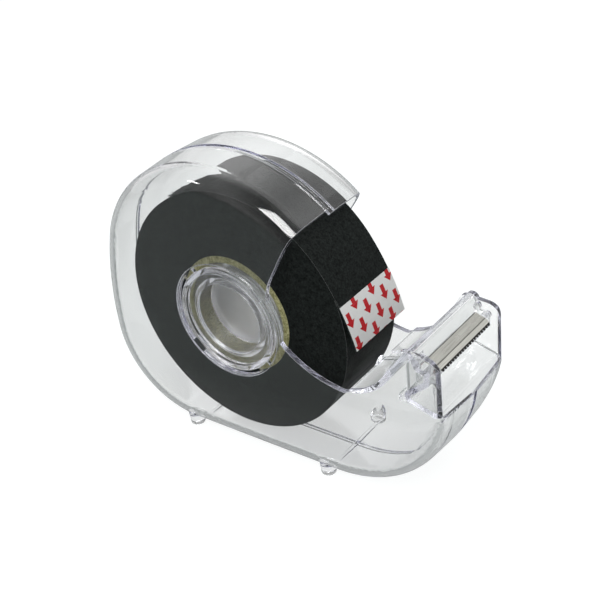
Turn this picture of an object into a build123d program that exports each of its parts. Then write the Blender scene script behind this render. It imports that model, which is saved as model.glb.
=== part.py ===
from build123d import *
import os
from math import atan2, cos, degrees, radians, sin, sqrt

# Hand dispenser for a roll of 19 mm tape: a clear snail-shaped case in two halves that part
# down the middle, a serrated cutter, a paper core and the wound tape with its starter tab.
# X runs forward to the cutter, Y across the case and Z up. The origin lies on the table,
# under the middle of the outline.

os.makedirs("parts", exist_ok=True)

# Driving sizes of the tape and its core
tape_width = 19.0
roll_radius = 30.0
core_bore = 26.0
core_wall = 1.6

# Driving sizes of the case
wall = 1.25
side_gap = 2.95
drum_room = 8.25
base_room = 5.3
nose_reach = 25.9
lip_drop = 8.8
head_rise = 15.2
shoulder_radius = 5.5
nose_radius = 1.6
crown = 0.7
foot_stand = 0.7

# Side outline of the case, from the roll's centre
drum_back = 2.85
drum_sink = 2.0
upper_back_draw = 8.65
back_bulge = 39.15
base_front = 26.0
roof_height = 14.0
roof_angle = 40
slit_angle = 51.5
upper_back_angle = 126
back_angle = 164.5
heel_angle = 184

# Joint between the two halves
joint_gap = 1.2
joint_depth = 0.6
joint_fit = 0.05
slit_step = 1.1

# Hub
hub_clearance = 0.08
hub_wall = 1.2
flange_width = 2.28
bead_width = 0.9
bead_height = 0.3
slot_width = 1.08
bridge_angle = 15
bridge_count = 4
spigot_radius = 8.8
spigot_fit = 0.1
spigot_end = 8.0
socket_end = 5.0
web_recess = 1.0

# Ribs on the floor of the case and feet under it
rib_wall = 0.8
rib_height = 0.6
rib_places = (24.4, -13.5)
foot_radius = 1.75
foot_round = 0.5
foot_flare = 5
foot_inset = 2.8
foot_places = (22.9, -16.5)

# Side notch and throat
slit_depth = 6.2
bar_radius = 1.5
pocket_radius = 1.8
lip_round = 1.5
cheek_rear_round = 1.6
cheek_front_round = 3.6
notch_upper_angle = 29
notch_lower_angle = 4
fold_share = 0.6
ring_seat_share = 0.96
notch_bend_shares = (0.471, 0.484)
sill_start_shares = (0.543, -0.09)
sill_middle_shares = (0.75, -0.22)
sill_end_shares = (1.04, -0.293)

# Places in the head, as shares of its reach ahead of the roll and of its rise above the lip
throat_start_shares = (0.116, 0.047)
throat_corner_shares = (0.346, 0.176)
throat_round_share = 0.564
bar_top_shares = (0.703, 1.039)
seat_rear_shares = (0.756, 0.788)
seat_front_shares = (0.849, 0.733)
under_front_shares = (0.849, 0.58)
pocket_rear_shares = (0.614, 0.253)
pocket_front_shares = (0.934, 0.089)
lip_shares = (0.973, -0.013)
cheek_rear_shares = (0.633, 1.039)
cheek_front_shares = (0.973, 0.99)
far_cheek_drop = 1.2
boss_places_shares = ((0.76, 0.868), (0.85, 0.75))
bar_start_share = 0.548
stud_length = 3.0
stud_height = 1.6
stud_wall = 0.9

# Hook on one half that takes a peg of the other, behind the throat
hook_wall = 0.9
hook_width = 3.4
hook_drop = 11.8
hook_toe = 3.2
hook_rise = 1.7
hook_top_shares = (0.483, 0.45)
peg_radius = 0.55
peg_fit = 0.12
peg_arm = 1.2

# Cutter
blade_thickness = 0.4
blade_width = 20.0
blade_seat_length = 2.5
blade_edge_length = 1.8
blade_bend = 18
blade_setback = 0.45
tooth_count = 20
tooth_depth = 0.7
boss_radius = 0.95
boss_gap = 0.25

# Free end of the tape and its starter tab
tape_film = 0.3
tab_film = 0.15
tail_lift = 2.6
leave_angle = 34
tip_angle = -0.4
tab_length = 10.4

# One overrun serves every cut
overrun = 3.0

# Sizes that follow from those above
inner_width = tape_width / 2 + side_gap
half_width = inner_width + wall
core_radius = core_bore / 2 + core_wall
hub_radius = core_bore / 2 - hub_clearance
flange_radius = hub_radius + flange_width
drum_radius = roll_radius + drum_room
upper_back_radius = drum_radius - upper_back_draw
back_radius = drum_radius + back_bulge
base_drop = roll_radius + base_room
lip_reach = roll_radius + nose_reach
half_joint = joint_gap / 2
throat_radius = nose_reach * throat_round_share


def polar(centre, radius, angle):
    """Point at a radius and an angle from a centre, in the side view."""
    return (centre[0] + radius * cos(radians(angle)), centre[1] + radius * sin(radians(angle)))


# The four arcs of the drum run into one another
drum_centre = (-drum_back, -drum_sink)
upper_back_centre = polar(drum_centre, drum_radius - upper_back_radius, upper_back_angle)
back_centre = polar(upper_back_centre, upper_back_radius - back_radius, back_angle)
heel_sine = sin(radians(heel_angle))
heel_radius = (back_centre[1] + back_radius * heel_sine + base_drop) / (1 + heel_sine)
heel_centre = polar(back_centre, back_radius - heel_radius, heel_angle)

# The side view's plane goes through the roll's axis and looks along Y
back_reach = back_radius - back_centre[0]
roll_x = (back_reach - lip_reach) / 2
roll_z = base_drop + foot_stand
side = Plane(origin=(roll_x, 0, roll_z), x_dir=(1, 0, 0), z_dir=(0, -1, 0))


def head(shares):
    """Point of the head in the side view."""
    return (roll_radius + nose_reach * shares[0], head_rise * shares[1] - lip_drop)


def by_roll(shares):
    """Point of the side notch in the side view."""
    return (roll_radius * shares[0], roll_radius * shares[1])


def throat_reach(height):
    """How far ahead the cheek's rear edge lies at a height."""
    corner, rear = head(throat_corner_shares), head(cheek_rear_shares)
    return corner[0] + (rear[0] - corner[0]) * (height - corner[1]) / (rear[1] - corner[1])


def outline(drum_inset, nose_inset):
    """Closed side outline of the case, inside its greatest outline by the two insets."""
    with BuildSketch(Plane.XY) as shape:
        with BuildLine():
            drum = CenterArc(
                drum_centre, drum_radius - drum_inset, roof_angle, upper_back_angle - roof_angle
            )
            CenterArc(
                upper_back_centre,
                upper_back_radius - drum_inset,
                upper_back_angle,
                back_angle - upper_back_angle,
            )
            CenterArc(back_centre, back_radius - drum_inset, back_angle, heel_angle - back_angle)
            heel = CenterArc(heel_centre, heel_radius - drum_inset, heel_angle, 270 - heel_angle)
            base = Line(heel @ 1, (base_front, drum_inset - base_drop))
            front = TangentArc(base @ 1, (lip_reach - nose_inset, -lip_drop), tangent=base % 1)
            Polyline(front @ 1, (lip_reach - nose_inset, roof_height), drum @ 0)
        make_face()
    return shape.sketch


def rounding(radius, start, depth):
    """How far a quarter round that starts at one depth has drawn the outline in at another."""
    into = min(max(depth - start, 0), radius)
    return radius - sqrt(radius**2 - into**2)


def case_form(inset):
    """Left half of the case's outer form, or of its hollow when inset by the wall."""
    depth = half_width - inset
    drum_round = shoulder_radius - inset
    nose_round = max(nose_radius - inset, inset * fold_share)
    start = depth - drum_round
    side_levels = (0, start)
    round_levels = [start + drum_round * sin(radians(turn)) for turn in (0, 22.5, 45, 67.5, 90)]
    with BuildPart() as form:
        for levels in (side_levels, round_levels):
            for level in levels:
                drawn = inset + crown * level / half_width
                drum_inset = drawn + rounding(drum_round, start, level)
                nose_inset = drawn + rounding(nose_round, depth - nose_round, level)
                with BuildSketch(side.offset(level)):
                    add(outline(drum_inset, nose_inset))
            loft(ruled=levels is side_levels)
    return form.part


def mouth(angle, drop):
    """Cutter for the mouth of one half: the slit, the side notch and all above the throat."""
    far_out = drum_radius + overrun
    cheek_top = head(cheek_rear_shares)[1] - drop
    with BuildPart() as cut:
        with BuildSketch(side.offset(-overrun)):
            with BuildLine():
                slit_end = polar((0, 0), drum_radius - slit_depth, angle)
                slit_start = polar((0, 0), far_out, angle)
                notch_top = polar((0, 0), flange_radius * ring_seat_share, notch_upper_angle)
                notch_bottom = polar((0, 0), flange_radius * ring_seat_share, notch_lower_angle)
                Line(slit_start, slit_end)
                edge = Line(slit_end, by_roll(notch_bend_shares))
                TangentArc(edge @ 1, notch_top, tangent=edge % 1)
                Line(notch_top, notch_bottom)
                sill = ThreePointArc(
                    by_roll(sill_start_shares),
                    by_roll(sill_middle_shares),
                    by_roll(sill_end_shares),
                )
                TangentArc(sill @ 0, notch_bottom, tangent=-(sill % 0))
                Line(sill @ 1, head(throat_start_shares))
                cheek_front = (lip_reach - crown, head(cheek_front_shares)[1] - drop)
                FilletPolyline(
                    head(throat_start_shares),
                    head(throat_corner_shares),
                    (throat_reach(cheek_top), cheek_top),
                    cheek_front,
                    (lip_reach - crown, -lip_drop),
                    radius=[throat_radius, cheek_rear_round, cheek_front_round],
                )
                Polyline(
                    (lip_reach - crown, -lip_drop),
                    (lip_reach + overrun, -lip_drop),
                    (lip_reach + overrun, far_out),
                    slit_start,
                )
            make_face()
        extrude(amount=half_width + 2 * overrun)
    return cut.part


def pocket():
    """Side view of all that is open ahead of the pocket under the cutter."""
    rear = head(pocket_rear_shares)
    with BuildSketch(Plane.XY) as space:
        with BuildLine():
            Polyline(
                (lip_reach + overrun, -lip_drop),
                (lip_reach, -lip_drop),
                head(pocket_front_shares),
                rear,
                (rear[0], roof_height + overrun),
                (lip_reach + overrun, roof_height + overrun),
                close=True,
            )
        make_face()
    return space.sketch


def throat_fall(place):
    """Height of the middle of the throat's wall, ahead of the bend at its foot."""
    corner, top = head(throat_corner_shares), head(bar_top_shares)
    return corner[1] + (top[1] - corner[1]) * (place - corner[0]) / (top[0] - corner[0])


def throat_strip(growth=0):
    """Section of the folded wall: throat, bar, cutter seat, pocket under the cutter, lip."""
    fold = wall * fold_share
    with BuildSketch(Plane.XY) as strip:
        with BuildLine():
            FilletPolyline(
                head(throat_start_shares),
                head(throat_corner_shares),
                head(bar_top_shares),
                head(seat_rear_shares),
                head(seat_front_shares),
                head(under_front_shares),
                head(pocket_rear_shares),
                head(pocket_front_shares),
                head(lip_shares),
                radius=[
                    throat_radius,
                    bar_radius - wall / 2,
                    fold,
                    fold,
                    fold,
                    pocket_radius - wall / 2,
                    lip_round - wall / 2,
                ],
            )
        trace(line_width=wall + 2 * growth)
    return strip.sketch


def bar_across(growth, reach):
    """The folded wall from the bar to the lip, out of the left half as far as a reach."""
    length = nose_reach * (1 - bar_start_share) + growth
    with BuildPart() as across:
        with BuildSketch(side.offset(joint_gap)):
            add(throat_strip(growth))
            with Locations((lip_reach - length / 2, 0)):
                Rectangle(length, 4 * head_rise, mode=Mode.INTERSECT)
        extrude(amount=-joint_gap - reach)
    return across.part


def hub_slots():
    """Arc slots round the hub, parted by the bridges."""
    slot_outer = hub_radius + slot_width
    with BuildSketch(Plane.XY) as slots:
        Circle(slot_outer)
        Circle(hub_radius, mode=Mode.SUBTRACT)
        with PolarLocations(hub_radius + slot_width / 2, bridge_count, start_angle=180 / bridge_count):
            Rectangle(2 * slot_width, slot_outer * radians(bridge_angle), mode=Mode.SUBTRACT)
    return slots.sketch


def shell_half(angle, drop):
    """What both halves share, drawn as the left half."""
    outer = case_form(0)
    with BuildPart() as inner_work:
        with BuildSketch(side):
            add(throat_strip())
            with Locations(*[(place, (rib_height + wall) / 2 - base_drop) for place in rib_places]):
                Rectangle(rib_wall, rib_height + wall)
        extrude(amount=half_width)
        add(outer, mode=Mode.INTERSECT)
    with BuildPart() as shell:
        add(outer)
        with BuildSketch(Plane.XY):
            with Locations(*[(roll_x + place, foot_inset - half_width) for place in foot_places]):
                Circle(foot_radius)
        extrude(amount=foot_stand + shoulder_radius, taper=-foot_flare)
        fillet(shell.edges().group_by(Axis.Z)[0], radius=foot_round)
        add(case_form(wall), mode=Mode.SUBTRACT)
        # The front wall stops at the lip between the cheeks
        with BuildSketch(side):
            add(pocket())
        extrude(amount=inner_width, mode=Mode.SUBTRACT)
        add(mouth(angle, drop), mode=Mode.SUBTRACT)
        add(inner_work.part)
        # Two bosses stand on the cheek beyond the end of the cutter
        with BuildSketch(side.offset(blade_width / 2 + boss_gap)):
            with Locations(*[head(shares) for shares in boss_places_shares]):
                Circle(boss_radius)
        extrude(amount=inner_width - blade_width / 2 - boss_gap)
        # Hub: a bead round the flange, arc slots and the tube that carries the core
        with BuildSketch(side.offset(inner_width)):
            Circle(flange_radius)
        extrude(amount=wall)
        with BuildSketch(side.offset(half_width - bead_height)):
            Circle(flange_radius - bead_width)
        extrude(amount=overrun, mode=Mode.SUBTRACT)
        with BuildSketch(side.offset(inner_width - overrun)):
            add(hub_slots())
            Circle(hub_radius - hub_wall)
        extrude(amount=wall + 2 * overrun, mode=Mode.SUBTRACT)
        with BuildSketch(side.offset(half_joint)):
            Circle(hub_radius)
            Circle(hub_radius - hub_wall, mode=Mode.SUBTRACT)
        extrude(amount=inner_width + wall - bead_height - half_joint)
    return shell.part


# Left half: the bar and the lip, the socket that the other half's spigot enters, and the hook
with BuildPart() as bar_work:
    add(case_form(0))
    add(mirror(case_form(0), about=Plane.XZ))
    add(bar_across(0, inner_width - joint_fit), mode=Mode.INTERSECT)
with BuildPart() as left_case_half:
    add(shell_half(slit_angle, 0))
    with BuildSketch(side.offset(-overrun)):
        Rectangle(4 * lip_reach, 4 * lip_reach)
    extrude(amount=overrun + half_joint + joint_fit, mode=Mode.SUBTRACT)
    # This half carries the bar, the cutter's seat and the lip across the whole width
    add(bar_work.part)
    with BuildSketch(side.offset(half_width - web_recess - hub_wall)):
        Circle(hub_radius - hub_wall / 2)
        Circle(spigot_radius + spigot_fit, mode=Mode.SUBTRACT)
    extrude(amount=hub_wall)
    with BuildSketch(side.offset(socket_end)):
        Circle(spigot_radius + spigot_fit + hub_wall)
        Circle(spigot_radius + spigot_fit, mode=Mode.SUBTRACT)
    extrude(amount=half_width - web_recess - socket_end)
    # The hook hangs under the throat, its toe turned back
    with BuildSketch(side.offset(half_joint + joint_fit)):
        with BuildLine():
            hook_x, hook_z = head(hook_top_shares)
            Polyline(
                (hook_x, hook_z),
                (hook_x, hook_z - hook_drop),
                (hook_x - hook_toe, hook_z - hook_drop),
                (hook_x - hook_toe, hook_z - hook_drop + hook_rise),
                (hook_x - hook_toe + hook_wall, hook_z - hook_drop + hook_rise),
                (hook_x - hook_toe + hook_wall, hook_z - hook_drop + hook_wall),
                (hook_x - hook_wall, hook_z - hook_drop + hook_wall),
                (hook_x - hook_wall, hook_z),
                close=True,
            )
        make_face()
    extrude(amount=hook_width)
    # A small stud with a sloped side stands at the joint's end of the throat's edge
    throat_x, throat_z = head(throat_start_shares)
    stud_plane = Plane(
        origin=(roll_x + throat_x + stud_wall / 2, -half_joint - joint_fit, roll_z + throat_z),
        x_dir=(0, -1, 0),
        z_dir=(-1, 0, 0),
    )
    with BuildSketch(stud_plane):
        with BuildLine():
            Polyline((0, 0), (0, stud_height), (stud_wall, stud_height), (stud_length, 0), close=True)
        make_face()
    extrude(amount=stud_wall)
left_case_half.part.label = "left_case_half"
export_step(left_case_half.part, "parts/left_case_half.step")

# Right half: the tongue of the joint, the spigot and the peg that the hook holds
far_slit_angle = slit_angle - degrees(slit_step / drum_radius)
with BuildPart() as right_case_half:
    add(mirror(shell_half(far_slit_angle, far_cheek_drop), about=Plane.XZ))
    with BuildSketch(side.offset(-half_joint)):
        add(outline(-overrun, -overrun))
        add(outline(joint_depth, joint_depth), mode=Mode.SUBTRACT)
    extrude(amount=half_joint, mode=Mode.SUBTRACT)
    with BuildSketch(side.offset(-half_joint)):
        add(outline(joint_depth, joint_depth))
        add(outline(wall, wall), mode=Mode.SUBTRACT)
    extrude(amount=joint_gap)
    add(mouth(far_slit_angle, far_cheek_drop), mode=Mode.SUBTRACT)
    with BuildSketch(side.offset(-half_joint)):
        add(pocket())
    extrude(amount=joint_gap, mode=Mode.SUBTRACT)
    with BuildSketch(side.offset(-half_joint)):
        add(throat_strip())
    extrude(amount=joint_gap)
    add(bar_across(joint_fit, inner_width), mode=Mode.SUBTRACT)
    # The hub is closed by a web that carries the hollow spigot
    with BuildSketch(side.offset(-half_joint - hub_wall)):
        Circle(hub_radius - hub_wall / 2)
        Circle(spigot_radius - hub_wall, mode=Mode.SUBTRACT)
    extrude(amount=hub_wall)
    with BuildSketch(side.offset(-half_joint - hub_wall)):
        Circle(spigot_radius)
        Circle(spigot_radius - hub_wall, mode=Mode.SUBTRACT)
    extrude(amount=half_joint + hub_wall + spigot_end)
    with BuildSketch(side.offset(spigot_end - hub_wall)):
        Circle(spigot_radius)
    extrude(amount=hub_wall)
    # The peg hangs from the throat on an arm and reaches into the hook
    hook_x, hook_z = head(hook_top_shares)
    peg_x = hook_x - hook_toe / 2
    peg_z = hook_z - hook_drop + hook_wall + peg_fit + peg_radius
    arm_length = throat_fall(peg_x) - peg_z
    with BuildSketch(side.offset(-half_joint - peg_arm)):
        with Locations((peg_x, peg_z + arm_length / 2)):
            Rectangle(2 * peg_radius, arm_length)
        with Locations((peg_x, peg_z)):
            Circle(peg_radius)
    extrude(amount=peg_arm)
    with BuildSketch(side.offset(-half_joint)):
        with Locations((peg_x, peg_z)):
            Circle(peg_radius)
    extrude(amount=joint_gap + hook_width - peg_fit)
right_case_half.part.label = "right_case_half"
export_step(right_case_half.part, "parts/right_case_half.step")

# Core of wound paper, which turns on the hub
with BuildPart() as roll_core:
    with BuildSketch(side):
        Circle(core_radius)
        Circle(core_bore / 2, mode=Mode.SUBTRACT)
    extrude(amount=tape_width / 2, both=True)
roll_core.part.label = "roll_core"
export_step(roll_core.part, "parts/roll_core.step")

# Wound tape: its free end leaves the roll in one long arc that starts along the roll
tip_radius = roll_radius + tail_lift
tip = polar((0, 0), tip_radius, tip_angle)
lean = tip_radius * cos(radians(leave_angle - tip_angle))
bend_radius = (tip_radius**2 - 2 * roll_radius * lean + roll_radius**2) / (2 * (roll_radius - lean))
bend_centre = polar((0, 0), roll_radius - bend_radius, leave_angle)
bend_tip_angle = degrees(atan2(tip[1] - bend_centre[1], tip[0] - bend_centre[0]))
tab_angle = degrees(tab_length / bend_radius)


def film(inner, outer, start_angle, end_angle):
    """Section of a film that follows the lifted end's arc between two radii and two angles."""
    with BuildSketch(Plane.XY) as strip:
        with BuildLine():
            near = CenterArc(bend_centre, inner, start_angle, end_angle - start_angle)
            away = CenterArc(bend_centre, outer, start_angle, end_angle - start_angle)
            Line(near @ 0, away @ 0)
            Line(near @ 1, away @ 1)
        make_face()
    return strip.sketch


with BuildPart() as wound_tape:
    with BuildSketch(side):
        Circle(roll_radius)
        add(film(bend_radius - tape_film, bend_radius, bend_tip_angle, leave_angle))
        Circle(core_radius, mode=Mode.SUBTRACT)
    extrude(amount=tape_width / 2, both=True)
wound_tape.part.label = "wound_tape"
export_step(wound_tape.part, "parts/wound_tape.step")

# Starter tab, stuck over the outside of the free end
with BuildPart() as starter_tab:
    with BuildSketch(side):
        add(film(bend_radius, bend_radius + tab_film, bend_tip_angle, bend_tip_angle + tab_angle))
    extrude(amount=tape_width / 2, both=True)
starter_tab.part.label = "starter_tab"
export_step(starter_tab.part, "parts/starter_tab.step")

# Cutter: a strip of sheet steel on the seat, its front bent down and toothed
seat_rear = head(seat_rear_shares)
seat_front = head(seat_front_shares)
seat_angle = degrees(atan2(seat_front[1] - seat_rear[1], seat_front[0] - seat_rear[0]))
blade_rear = polar(polar(seat_rear, wall / 2, seat_angle + 90), blade_setback, seat_angle)
blade_fold = polar(blade_rear, blade_seat_length, seat_angle)
edge_angle = seat_angle - blade_bend
mitre = blade_thickness / cos(radians(blade_bend / 2))
fold_top = polar(blade_fold, mitre, seat_angle + 90 - blade_bend / 2)
blade_edge = polar(blade_fold, blade_edge_length, edge_angle)
edge_top = polar(blade_edge, blade_thickness, edge_angle + 90)
with BuildPart() as cutter_blade:
    with BuildSketch(side):
        with BuildLine():
            Polyline(
                blade_rear,
                blade_fold,
                blade_edge,
                edge_top,
                fold_top,
                polar(blade_rear, blade_thickness, seat_angle + 90),
                close=True,
            )
        make_face()
    extrude(amount=blade_width / 2, both=True)
    # The gaps between the teeth are cut square to the bent front
    edge_plane = Plane(
        origin=(roll_x + blade_edge[0], 0, roll_z + blade_edge[1]),
        x_dir=(0, 1, 0),
        z_dir=(cos(radians(edge_angle + 90)), 0, sin(radians(edge_angle + 90))),
    )
    pitch = blade_width / tooth_count
    with BuildSketch(edge_plane.offset(-blade_thickness)):
        for number in range(tooth_count + 1):
            middle = pitch * number - blade_width / 2
            with BuildLine():
                Polyline((middle - pitch / 2, 0), (middle, tooth_depth), (middle + pitch / 2, 0), close=True)
            make_face()
    extrude(amount=3 * blade_thickness, mode=Mode.SUBTRACT)
cutter_blade.part.label = "cutter_blade"
export_step(cutter_blade.part, "parts/cutter_blade.step")
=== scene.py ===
import math

import bpy
from mathutils import Matrix, Vector


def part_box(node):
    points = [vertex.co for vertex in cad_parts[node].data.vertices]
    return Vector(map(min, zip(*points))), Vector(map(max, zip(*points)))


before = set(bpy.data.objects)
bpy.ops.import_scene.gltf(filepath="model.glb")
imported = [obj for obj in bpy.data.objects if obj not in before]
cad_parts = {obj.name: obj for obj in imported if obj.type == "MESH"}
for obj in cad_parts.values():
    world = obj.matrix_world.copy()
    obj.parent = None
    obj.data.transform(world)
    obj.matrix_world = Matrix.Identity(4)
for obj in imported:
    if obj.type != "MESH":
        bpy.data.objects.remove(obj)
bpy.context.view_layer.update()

# Places read from the frame: the roll's axis runs along Y
core_low, core_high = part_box("roll_core")
tape_low, tape_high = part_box("wound_tape")
roll_centre = (core_low + core_high) / 2
core_radius = (core_high.x - core_low.x) / 2
half_tape = (tape_high.y - tape_low.y) / 2

# Camera: its place from the middle of the roll in metres, its angles in degrees, its lens in millimetres
camera_offset = Vector((0.1661, -0.1906, 0.1522))
camera_azimuth = 38.97
camera_elevation = 31.77
camera_roll = -6.13
camera_lens = 75.53
camera_nearest = 0.01

# Floor: its size in metres, its own colour, and the glow that makes it read as white where it is seen
floor_size = 6.0
floor_colour = (0.235, 0.262, 0.256, 1)
floor_glow = 0.875

# The floor as gloss mirrors it: its glow towards -Y and +Y, and the places on Y between which it changes
mirrored_floor_glow = (0.06, 0.3)
mirrored_floor_change = (-0.035, -0.005)

# Surroundings, where 1 is white: the light that they give to the object
studio_level = 0.32

# The surroundings as gloss mirrors them: their level towards -Y and +Y, and the Y between which it changes
mirrored_side_level = (0.32, 0.8)
mirrored_side_change = (-0.2, 0.3)

# Streaks that gloss mirrors, from -1 to 1 across the surroundings: a bright one, a dark one, their reach
panel_place = -0.42
panel_gain = 0.8
gap_place = 0.1
gap_gain = -0.45
streak_reach = 0.28

# What the floor and the surroundings give to light that is led round inside the clear walls
led_level = 0.85
light_bounces = 32

# Lamps: name, azimuth, elevation and turn in degrees, distance, width and height in metres, power in watts
lamps = (
    ("key_lamp", 24, 50, 35, 0.8, 0.42, 0.3, 3.6),
    ("side_lamp", -48, 29, 0, 0.8, 0.1, 0.04, 0.25),
    ("back_lamp", 165, 55, 0, 0.9, 0.9, 0.6, 1.5),
)
unmirrored_lamp = "back_lamp"

# A rounded edge begins, and is full, at these cosines between the rounded and the flat normal
edge_begins = 0.99
edge_is_full = 0.9

# Edges of the clear plastic: their rounding in metres, their roughness, and a painted glow that they give
# off, standing in for light led along the walls
plastic_edge_radius = 0.00012
plastic_edge_roughness = 0.4
plastic_edge_painted_glow = (0.46, 0.47, 0.51, 1)
no_light = (0, 0, 0, 1)

# Clear plastic near the roll's axis, in metres: the hub inside the core, and the frosted end of its spigot
hub_radius = core_radius - 0.0018
hub_reach = half_tape + 0.0025
hub_roughness = 0.16
frosted_radius = 0.0085
frosted_depth = (-0.0082, -0.0065)
frosted_roughness = 0.45

# Clear plastic in its depth: its colour and density, and what it lets through of the lamps' light
depth_colour = (0.42, 0.42, 0.60, 1)
depth_density = 15.0
lamp_light_passed = (0.9, 0.9, 0.91, 1)

# Tape: a painted highlight makes its cut edges paler; their rounding is in metres
cut_edge_radius = 0.00015
cut_edge_painted_highlight = (0.16, 0.17, 0.168, 1)

# Blade: painted shade darkens its rear edge, its fold and its teeth; places and reaches in metres
blade_low, blade_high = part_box("cutter_blade")
blade_fold = blade_low.x + 0.00255
rear_reach = 0.0003
fold_reach = 0.00007
tooth_reach = 0.00055
painted_shade_colour = (0.035, 0.034, 0.032, 1)

# Scales along X, Y and Z that draw a noise out into streaks: of handling, and of the drawn steel
streak_shape = (1.0, 0.12, 0.35)
drawn_shape = (1.0, 0.04, 1.0)

# Arrows printed on the starter tab, in metres
arrow_length = 0.0035
arrow_head = 0.0016
arrow_width = 0.0029
arrow_shaft = 0.0013
arrow_overlap = 0.0001
arrow_column = 0.0033
arrow_row = 0.0056

# Bend of the starter tab, in metres
bend_radius = 0.056241
bend_centre = roll_centre + Vector((-0.021754, 0, -0.014674))


def feed(tree, socket, value):
    """Links an output to a socket, or sets the socket to a plain value."""
    if isinstance(value, bpy.types.NodeSocket):
        tree.links.new(value, socket)
    else:
        socket.default_value = value


def add_node(tree, kind, inputs=(), **properties):
    """Adds a shader node, sets its properties, and feeds its inputs by name or number."""
    made = tree.nodes.new(kind)
    for name, value in properties.items():
        setattr(made, name, value)
    for name, value in dict(inputs).items():
        feed(tree, made.inputs[name], value)
    return made


def calculate(tree, operation, *values, clamp=False):
    """Result of a math node, from outputs or numbers."""
    made = add_node(tree, "ShaderNodeMath", enumerate(values), operation=operation, use_clamp=clamp)
    return made.outputs[0]


def pick(tree, factor, first, second, kind="FLOAT"):
    """First value where the factor is 0, second where it is 1; the kind is RGBA for colours."""
    inputs = {"Factor": factor, "A": first, "B": second}
    return add_node(tree, "ShaderNodeMix", inputs, data_type=kind).outputs["Result"]


def spread(tree, value, start, end, first=0.0, last=1.0):
    """Goes from first to last as a value goes from start to end, and stays there beyond them."""
    inputs = {"Value": value, "From Min": start, "From Max": end, "To Min": first, "To Max": last}
    return add_node(tree, "ShaderNodeMapRange", inputs).outputs["Result"]


def parts_of(tree, place):
    """The X, Y and Z of a place or a direction."""
    return add_node(tree, "ShaderNodeSeparateXYZ", {"Vector": place}).outputs


def measured_from(tree, place, centre):
    """The X, Y and Z of a place, measured from a centre."""
    away = add_node(tree, "ShaderNodeVectorMath", {0: place, 1: centre}, operation="SUBTRACT")
    return parts_of(tree, away.outputs[0])


def new_group(name, inputs, outputs):
    """A shader node group with named inputs and outputs, what it is given and what it puts out."""
    group = bpy.data.node_groups.new(name, "ShaderNodeTree")
    for socket, kind, value in inputs:
        made = group.interface.new_socket(socket, in_out="INPUT", socket_type=kind)
        if value is not None:
            made.default_value = value
    for socket, kind in outputs:
        group.interface.new_socket(socket, in_out="OUTPUT", socket_type=kind)
    given = group.nodes.new("NodeGroupInput").outputs
    result = group.nodes.new("NodeGroupOutput").inputs
    return group, given, result


def use_group(tree, group, **values):
    """Places a shared group in a material with its own values, and gives what it puts out."""
    inputs = {name.replace("_", " ").title(): value for name, value in values.items()}
    return add_node(tree, "ShaderNodeGroup", inputs, node_tree=group).outputs


def scaled(tree, place, scale):
    """A place, scaled along X, Y and Z."""
    return add_node(tree, "ShaderNodeMapping", {"Vector": place, "Scale": scale}).outputs["Vector"]


def add_noise(tree, place, scale, detail, roughness=0.5, distortion=0.0):
    """Noise at a place, from 0 to 1."""
    inputs = {
        "Vector": place,
        "Scale": scale,
        "Detail": detail,
        "Roughness": roughness,
        "Distortion": distortion,
    }
    return add_node(tree, "ShaderNodeTexNoise", inputs).outputs["Fac"]


def make_patchy_colour():
    """Group: two colours mixed in soft patches and a fine speckle."""
    group, given, result = new_group(
        "patchy_colour",
        (
            ("Vector", "NodeSocketVector", None),
            ("First Colour", "NodeSocketColor", (1, 1, 1, 1)),
            ("Second Colour", "NodeSocketColor", (0.8, 0.8, 0.8, 1)),
            ("Patch Scale", "NodeSocketFloat", 60.0),
            ("Speckle Scale", "NodeSocketFloat", 2500.0),
            ("Speckle Share", "NodeSocketFloat", 0.4),
        ),
        (("Color", "NodeSocketColor"),),
    )
    patch = add_noise(group, given["Vector"], given["Patch Scale"], detail=6.0, roughness=0.6)
    speckle = add_noise(group, given["Vector"], given["Speckle Scale"], detail=2.0)
    blend = pick(group, given["Speckle Share"], patch, speckle)
    share = spread(group, blend, start=0.35, end=0.65)
    colour = pick(group, share, given["First Colour"], given["Second Colour"], kind="RGBA")
    feed(group, result["Color"], colour)
    return group


def make_handled_gloss():
    """Group: roughness between two values, in smears and fine streaks."""
    group, given, result = new_group(
        "handled_gloss",
        (
            ("Vector", "NodeSocketVector", None),
            ("Polished", "NodeSocketFloat", 0.1),
            ("Worn", "NodeSocketFloat", 0.3),
            ("Smear Scale", "NodeSocketFloat", 50.0),
            ("Streak Scale", "NodeSocketFloat", 900.0),
        ),
        (("Roughness", "NodeSocketFloat"),),
    )
    smear = add_noise(group, given["Vector"], given["Smear Scale"], detail=4.0, distortion=1.5)
    stretched = scaled(group, given["Vector"], streak_shape)
    streaks = add_noise(group, stretched, given["Streak Scale"], detail=1.0)
    both = calculate(group, "MULTIPLY", smear, streaks)
    gloss = spread(group, both, start=0.18, end=0.36, first=given["Polished"], last=given["Worn"])
    feed(group, result["Roughness"], gloss)
    return group


def make_fine_grain():
    """Group: height of a fine grain over a slow ripple."""
    group, given, result = new_group(
        "fine_grain",
        (
            ("Vector", "NodeSocketVector", None),
            ("Grain Scale", "NodeSocketFloat", 4000.0),
            ("Ripple Scale", "NodeSocketFloat", 90.0),
            ("Ripple Share", "NodeSocketFloat", 0.3),
        ),
        (("Height", "NodeSocketFloat"),),
    )
    grain = add_noise(group, given["Vector"], given["Grain Scale"], detail=2.0, roughness=0.6)
    ripple = add_noise(group, given["Vector"], given["Ripple Scale"], detail=0.0)
    feed(group, result["Height"], pick(group, given["Ripple Share"], grain, ripple))
    return group


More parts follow.
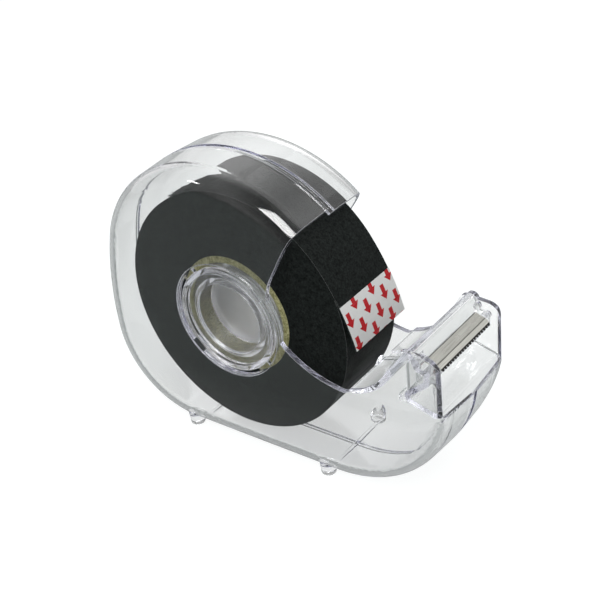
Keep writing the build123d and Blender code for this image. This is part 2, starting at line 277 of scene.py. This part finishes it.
def make_rounded_edge():
    """Group: a normal rounded over the edges, and a mask that is 1 where it leaves the flat one."""
    group, given, result = new_group(
        "rounded_edge",
        (("Radius", "NodeSocketFloat", 0.0001),),
        (("Normal", "NodeSocketVector"), ("Mask", "NodeSocketFloat")),
    )
    rounded = add_node(group, "ShaderNodeBevel", {"Radius": given["Radius"]}, samples=4).outputs[0]
    flat = group.nodes.new("ShaderNodeNewGeometry").outputs["Normal"]
    cosine = add_node(group, "ShaderNodeVectorMath", {0: flat, 1: rounded}, operation="DOT_PRODUCT")
    feed(group, result["Normal"], rounded)
    feed(group, result["Mask"], spread(group, cosine.outputs["Value"], edge_begins, edge_is_full))
    return group


def make_band():
    """Group: a mask that is 1 where a value lies between two numbers."""
    group, given, result = new_group(
        "band",
        (
            ("Value", "NodeSocketFloat", 0.0),
            ("Low", "NodeSocketFloat", 0.0),
            ("High", "NodeSocketFloat", 1.0),
        ),
        (("Mask", "NodeSocketFloat"),),
    )
    above = calculate(group, "GREATER_THAN", given["Value"], given["Low"])
    below = calculate(group, "LESS_THAN", given["Value"], given["High"])
    feed(group, result["Mask"], calculate(group, "MULTIPLY", above, below))
    return group


patchy_colour = make_patchy_colour()
handled_gloss = make_handled_gloss()
fine_grain = make_fine_grain()
rounded_edge = make_rounded_edge()
band = make_band()


def start_material(name, **shader_values):
    """A node material, its node tree, its shader and its object coordinates."""
    material = bpy.data.materials.new(name)
    material.use_nodes = True
    tree = material.node_tree
    tree.nodes.clear()
    values = {key.replace("_", " "): value for key, value in shader_values.items()}
    shader = add_node(tree, "ShaderNodeBsdfPrincipled", values)
    add_node(tree, "ShaderNodeOutputMaterial", {"Surface": shader.outputs[0]})
    place = tree.nodes.new("ShaderNodeTexCoord").outputs["Object"]
    return material, tree, shader, place


def cover(tree, shader, colour, gloss, grain, strength, distance):
    """Feeds a colour, a roughness and a bump into the shader; the bump's distance is in metres."""
    inputs = {"Height": grain["Height"], "Strength": strength, "Distance": distance}
    bump = add_node(tree, "ShaderNodeBump", inputs)
    feed(tree, shader.inputs["Base Color"], colour)
    feed(tree, shader.inputs["Roughness"], gloss["Roughness"])
    feed(tree, shader.inputs["Normal"], bump.outputs[0])


def disc_mask(tree, away, radius, low, high):
    """1 within a radius of the roll's axis, between two places across the case."""
    squared = calculate(tree, "MULTIPLY", away["X"], away["X"])
    squared = calculate(tree, "MULTIPLY_ADD", away["Z"], away["Z"], squared)
    inside = calculate(tree, "LESS_THAN", calculate(tree, "SQRT", squared), radius)
    between = use_group(tree, band, value=away["Y"], low=low, high=high)
    return calculate(tree, "MULTIPLY", inside, between["Mask"])


def let_light_through(tree, shader):
    """Lets the lamps shine through the plastic onto what it holds, and gives the plastic its depth."""
    path = tree.nodes.new("ShaderNodeLightPath").outputs
    passed = add_node(tree, "ShaderNodeBsdfTransparent", {"Color": lamp_light_passed})
    shaders = {0: path["Is Shadow Ray"], 1: shader.outputs[0], 2: passed.outputs[0]}
    surface = add_node(tree, "ShaderNodeMixShader", shaders)
    taken = {"Color": depth_colour, "Density": depth_density}
    depth = add_node(tree, "ShaderNodeVolumeAbsorption", taken)
    output = tree.get_output_node("ALL")
    feed(tree, output.inputs["Surface"], surface.outputs[0])
    feed(tree, output.inputs["Volume"], depth.outputs[0])


def make_clear_plastic():
    """Clear moulded plastic: rounded edges with a painted glow, a rougher hub and a frosted end of its
    spigot.
    """
    material, tree, shader, place = start_material(
        "clear_plastic", IOR=1.57, Transmission_Weight=1.0, Emission_Strength=1.0
    )
    tint = use_group(
        tree,
        patchy_colour,
        vector=place,
        first_colour=(0.93, 0.935, 0.93, 1),
        second_colour=(0.90, 0.905, 0.905, 1),
        patch_scale=40.0,
        speckle_share=0.1,
    )
    gloss = use_group(tree, handled_gloss, vector=place, polished=0.008, worn=0.035)
    edge = use_group(tree, rounded_edge, radius=plastic_edge_radius)
    away = measured_from(tree, place, roll_centre)
    hub = disc_mask(tree, away, hub_radius, -hub_reach, hub_reach)
    frosted = disc_mask(tree, away, frosted_radius, *frosted_depth)
    rough = pick(tree, edge["Mask"], gloss["Roughness"], plastic_edge_roughness)
    rough = pick(tree, hub, rough, hub_roughness)
    rough = pick(tree, frosted, rough, frosted_roughness)
    # Painted glow: a pale emission on the rounded edges stands in for light led along the clear walls
    painted_edge_glow = pick(tree, edge["Mask"], no_light, plastic_edge_painted_glow, kind="RGBA")
    feed(tree, shader.inputs["Base Color"], tint["Color"])
    feed(tree, shader.inputs["Roughness"], rough)
    feed(tree, shader.inputs["Normal"], edge["Normal"])
    feed(tree, shader.inputs["Emission Color"], painted_edge_glow)
    let_light_through(tree, shader)
    return material


def make_magnet_tape():
    """Dark flexible magnet strip, speckled, with a fine grain and a painted highlight along its cut edges.
    """
    material, tree, shader, place = start_material("magnet_tape", Specular_IOR_Level=0.06)
    tint = use_group(
        tree,
        patchy_colour,
        vector=place,
        first_colour=(0.0035, 0.0043, 0.0041, 1),
        second_colour=(0.024, 0.0285, 0.027, 1),
        patch_scale=1100.0,
        speckle_scale=2400.0,
        speckle_share=0.5,
    )
    edge = use_group(tree, rounded_edge, radius=cut_edge_radius)
    # Painted highlight: the cut edges take a paler colour where light would catch them
    colour = pick(tree, edge["Mask"], tint["Color"], cut_edge_painted_highlight, kind="RGBA")
    gloss = use_group(tree, handled_gloss, vector=place, polished=0.42, worn=0.6)
    grain = use_group(tree, fine_grain, vector=place, grain_scale=2200.0, ripple_share=0.1)
    cover(tree, shader, colour, gloss, grain, strength=0.8, distance=0.00006)
    return material


def make_core_board():
    """Wound board, mottled olive and cream."""
    material, tree, shader, place = start_material("core_board", Specular_IOR_Level=0.25)
    tint = use_group(
        tree,
        patchy_colour,
        vector=place,
        first_colour=(0.17, 0.165, 0.045, 1),
        second_colour=(0.80, 0.78, 0.42, 1),
        patch_scale=600.0,
        speckle_scale=2200.0,
        speckle_share=0.6,
    )
    gloss = use_group(tree, handled_gloss, vector=place, polished=0.6, worn=0.85)
    grain = use_group(tree, fine_grain, vector=place, grain_scale=2500.0)
    cover(tree, shader, tint["Color"], gloss, grain, strength=0.6, distance=0.0001)
    return material


def make_blade_steel():
    """Satin sheet steel, drawn along its length, with painted shade at its rear edge, its fold and its
    teeth.
    """
    material, tree, shader, place = start_material("blade_steel", Metallic=1.0)
    drawn = scaled(tree, place, drawn_shape)
    tint = use_group(
        tree,
        patchy_colour,
        vector=drawn,
        first_colour=(0.62, 0.615, 0.565, 1),
        second_colour=(0.86, 0.855, 0.79, 1),
        patch_scale=300.0,
        speckle_scale=4000.0,
        speckle_share=0.5,
    )
    # Painted shade: the rear edge, the fold and the teeth take a darker colour where shade falls on them
    along = parts_of(tree, place)["X"]
    dark = 0.0
    zones = ((blade_low.x, rear_reach), (blade_fold, fold_reach), (blade_high.x, tooth_reach))
    for middle, reach in zones:
        zone = use_group(tree, band, value=along, low=middle - reach, high=middle + reach)
        dark = calculate(tree, "MAXIMUM", dark, zone["Mask"])
    colour = pick(tree, dark, tint["Color"], painted_shade_colour, kind="RGBA")
    gloss = use_group(tree, handled_gloss, vector=place, polished=0.22, worn=0.38)
    grain = use_group(tree, fine_grain, vector=drawn, grain_scale=5000.0)
    cover(tree, shader, colour, gloss, grain, strength=0.25, distance=0.00005)
    return material


def arrow_mask(tree, across, along):
    """1 inside the printed arrows: rows along the film, each next column half a row on."""
    column_middle = 0.5
    column = calculate(tree, "DIVIDE", across, arrow_column)
    shift = calculate(tree, "MULTIPLY", calculate(tree, "FLOOR", column), arrow_row / 2)
    ahead = calculate(tree, "WRAP", calculate(tree, "ADD", along, shift), arrow_row, 0.0)
    aside = calculate(tree, "SUBTRACT", calculate(tree, "FRACT", column), column_middle)
    aside = calculate(tree, "MULTIPLY", calculate(tree, "ABSOLUTE", aside), arrow_column)
    slope = calculate(tree, "MULTIPLY", ahead, arrow_width / 2 / arrow_head)
    in_head = calculate(tree, "LESS_THAN", aside, slope)
    before_neck = calculate(tree, "LESS_THAN", ahead, arrow_head)
    head = calculate(tree, "MULTIPLY", in_head, before_neck)
    in_shaft = calculate(tree, "LESS_THAN", aside, arrow_shaft / 2)
    past_neck = use_group(tree, band, value=ahead, low=arrow_head - arrow_overlap, high=arrow_length)
    shaft = calculate(tree, "MULTIPLY", in_shaft, past_neck["Mask"])
    return calculate(tree, "MAXIMUM", shaft, head)


def make_tab_film():
    """White film with red arrows that point to the free end, measured round the film's bend."""
    material, tree, shader, place = start_material(
        "tab_film", Coat_Weight=0.1, Specular_IOR_Level=0.25
    )
    film = use_group(
        tree,
        patchy_colour,
        vector=place,
        first_colour=(0.94, 0.945, 0.935, 1),
        second_colour=(0.88, 0.885, 0.875, 1),
        patch_scale=200.0,
        speckle_share=0.2,
    )
    ink = use_group(
        tree,
        patchy_colour,
        vector=place,
        first_colour=(0.66, 0.012, 0.020, 1),
        second_colour=(0.50, 0.006, 0.012, 1),
        patch_scale=500.0,
        speckle_share=0.4,
    )
    away = measured_from(tree, place, bend_centre)
    angle = calculate(tree, "ARCTAN2", away["Z"], away["X"])
    printed = arrow_mask(tree, away["Y"], calculate(tree, "MULTIPLY", angle, bend_radius))
    colour = pick(tree, printed, film["Color"], ink["Color"], kind="RGBA")
    gloss = use_group(tree, handled_gloss, vector=place, polished=0.25, worn=0.4)
    grain = use_group(tree, fine_grain, vector=place, grain_scale=1500.0, ripple_share=0.6)
    cover(tree, shader, colour, gloss, grain, strength=0.15, distance=0.00005)
    return material


def finish_with(names, material):
    """Gives CAD nodes one material."""
    for name in names:
        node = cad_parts[name]
        node.data.materials.clear()
        node.data.materials.append(material)


def shown_level(tree, other, mirrored, led):
    """Strength by ray: 1 where seen straight or through plastic, mirrored once, led often, or other."""
    path = tree.nodes.new("ShaderNodeLightPath").outputs
    seen = calculate(tree, "ADD", path["Is Camera Ray"], path["Is Transmission Ray"], clamp=True)
    # Depths are whole numbers, so they are compared with a half between them
    direct = calculate(tree, "LESS_THAN", path["Diffuse Depth"], 0.5)
    once = calculate(tree, "GREATER_THAN", path["Glossy Depth"], 0.5)
    often = calculate(tree, "GREATER_THAN", path["Glossy Depth"], 1.5)
    level = other
    for rays, shown in ((seen, 1.0), (once, mirrored), (often, led)):
        level = pick(tree, calculate(tree, "MULTIPLY", rays, direct), level, shown)
    return level


def make_floor():
    """White floor that keeps the object's shadow, and that gloss mirrors darker."""
    bpy.ops.object.select_all(action="DESELECT")
    bpy.ops.mesh.primitive_plane_add(size=floor_size, location=(0, 0, 0))
    floor = bpy.context.object
    floor.name = "studio_floor"
    material = bpy.data.materials.new("white_floor")
    material.use_nodes = True
    tree = material.node_tree
    tree.nodes.clear()
    place = parts_of(tree, tree.nodes.new("ShaderNodeTexCoord").outputs["Object"])
    shares = [glow / floor_glow for glow in mirrored_floor_glow]
    mirrored = spread(tree, place["Y"], *mirrored_floor_change, *shares)
    level = shown_level(tree, 0.0, mirrored, led_level)
    level = calculate(tree, "MULTIPLY", level, floor_glow)
    diffuse = add_node(tree, "ShaderNodeBsdfDiffuse", {"Color": floor_colour})
    glow = add_node(tree, "ShaderNodeEmission", {"Strength": level})
    both = add_node(tree, "ShaderNodeAddShader", {0: diffuse.outputs[0], 1: glow.outputs[0]})
    add_node(tree, "ShaderNodeOutputMaterial", {"Surface": both.outputs[0]})
    floor.data.materials.append(material)


def streak(tree, across, place, gain):
    """A soft upright streak in the surroundings: its gain at its middle, nothing past its reach."""
    away = calculate(tree, "ABSOLUTE", calculate(tree, "SUBTRACT", across, place))
    share = calculate(tree, "SUBTRACT", 1.0, calculate(tree, "DIVIDE", away, streak_reach), clamp=True)
    return calculate(tree, "MULTIPLY", share, gain)


def make_surroundings():
    """Surroundings that are white where they are seen; gloss mirrors them darker at -Y, with streaks."""
    world = bpy.data.worlds.new("studio")
    world.use_nodes = True
    tree = world.node_tree
    tree.nodes.clear()
    way = parts_of(tree, tree.nodes.new("ShaderNodeTexCoord").outputs["Generated"])
    side = spread(tree, way["Y"], *mirrored_side_change, *mirrored_side_level)
    panel = streak(tree, way["X"], panel_place, panel_gain)
    gap = streak(tree, way["X"], gap_place, gap_gain)
    streaks = calculate(tree, "ADD", 1.0, calculate(tree, "ADD", panel, gap))
    mirrored = calculate(tree, "MULTIPLY", side, streaks)
    level = shown_level(tree, studio_level, mirrored, led_level)
    light = add_node(tree, "ShaderNodeBackground", {"Color": (1, 1, 1, 1), "Strength": level})
    add_node(tree, "ShaderNodeOutputWorld", {"Surface": light.outputs[0]})
    bpy.context.scene.world = world


def towards(azimuth, elevation):
    """Unit vector from the object at an azimuth and an elevation; azimuth 0 lies along -Y."""
    a, e = math.radians(azimuth), math.radians(elevation)
    return Vector((math.sin(a) * math.cos(e), -math.cos(a) * math.cos(e), math.sin(e)))


def make_lamps():
    """Soft rectangular lamps that face the roll."""
    for name, azimuth, elevation, turn, distance, width, height, power in lamps:
        data = bpy.data.lights.new(name, "AREA")
        data.shape = "RECTANGLE"
        data.size = width
        data.size_y = height
        data.energy = power
        lamp = bpy.data.objects.new(name, data)
        way = towards(azimuth, elevation)
        facing = way.to_track_quat("Z", "Y").to_matrix().to_4x4()
        turned = Matrix.Rotation(math.radians(turn), 4, "Z")
        lamp.matrix_world = Matrix.Translation(roll_centre + way * distance) @ facing @ turned
        lamp.visible_glossy = name != unmirrored_lamp
        bpy.context.scene.collection.objects.link(lamp)


def make_camera():
    """The camera of the photograph's view."""
    data = bpy.data.cameras.new("camera")
    data.lens = camera_lens
    data.clip_start = camera_nearest
    camera = bpy.data.objects.new("camera", data)
    turn = Matrix.Rotation(math.radians(camera_azimuth), 4, "Z")
    tilt = Matrix.Rotation(math.radians(90 - camera_elevation), 4, "X")
    roll = Matrix.Rotation(math.radians(camera_roll), 4, "Z")
    camera.matrix_world = Matrix.Translation(roll_centre + camera_offset) @ turn @ tilt @ roll
    bpy.context.scene.collection.objects.link(camera)
    bpy.context.scene.camera = camera


finish_with(("left_case_half", "right_case_half"), make_clear_plastic())
finish_with(("wound_tape",), make_magnet_tape())
finish_with(("roll_core",), make_core_board())
finish_with(("cutter_blade",), make_blade_steel())
finish_with(("starter_tab",), make_tab_film())

make_floor()
make_surroundings()
make_lamps()
make_camera()

scene = bpy.context.scene
scene.view_settings.view_transform = "Standard"
# Light is led round many times inside the clear walls
scene.cycles.max_bounces = light_bounces
scene.cycles.glossy_bounces = light_bounces
scene.cycles.transmission_bounces = light_bounces
scene.cycles.transparent_max_bounces = light_bounces
scene.cycles.caustics_refractive = False
scene.cycles.caustics_reflective = False
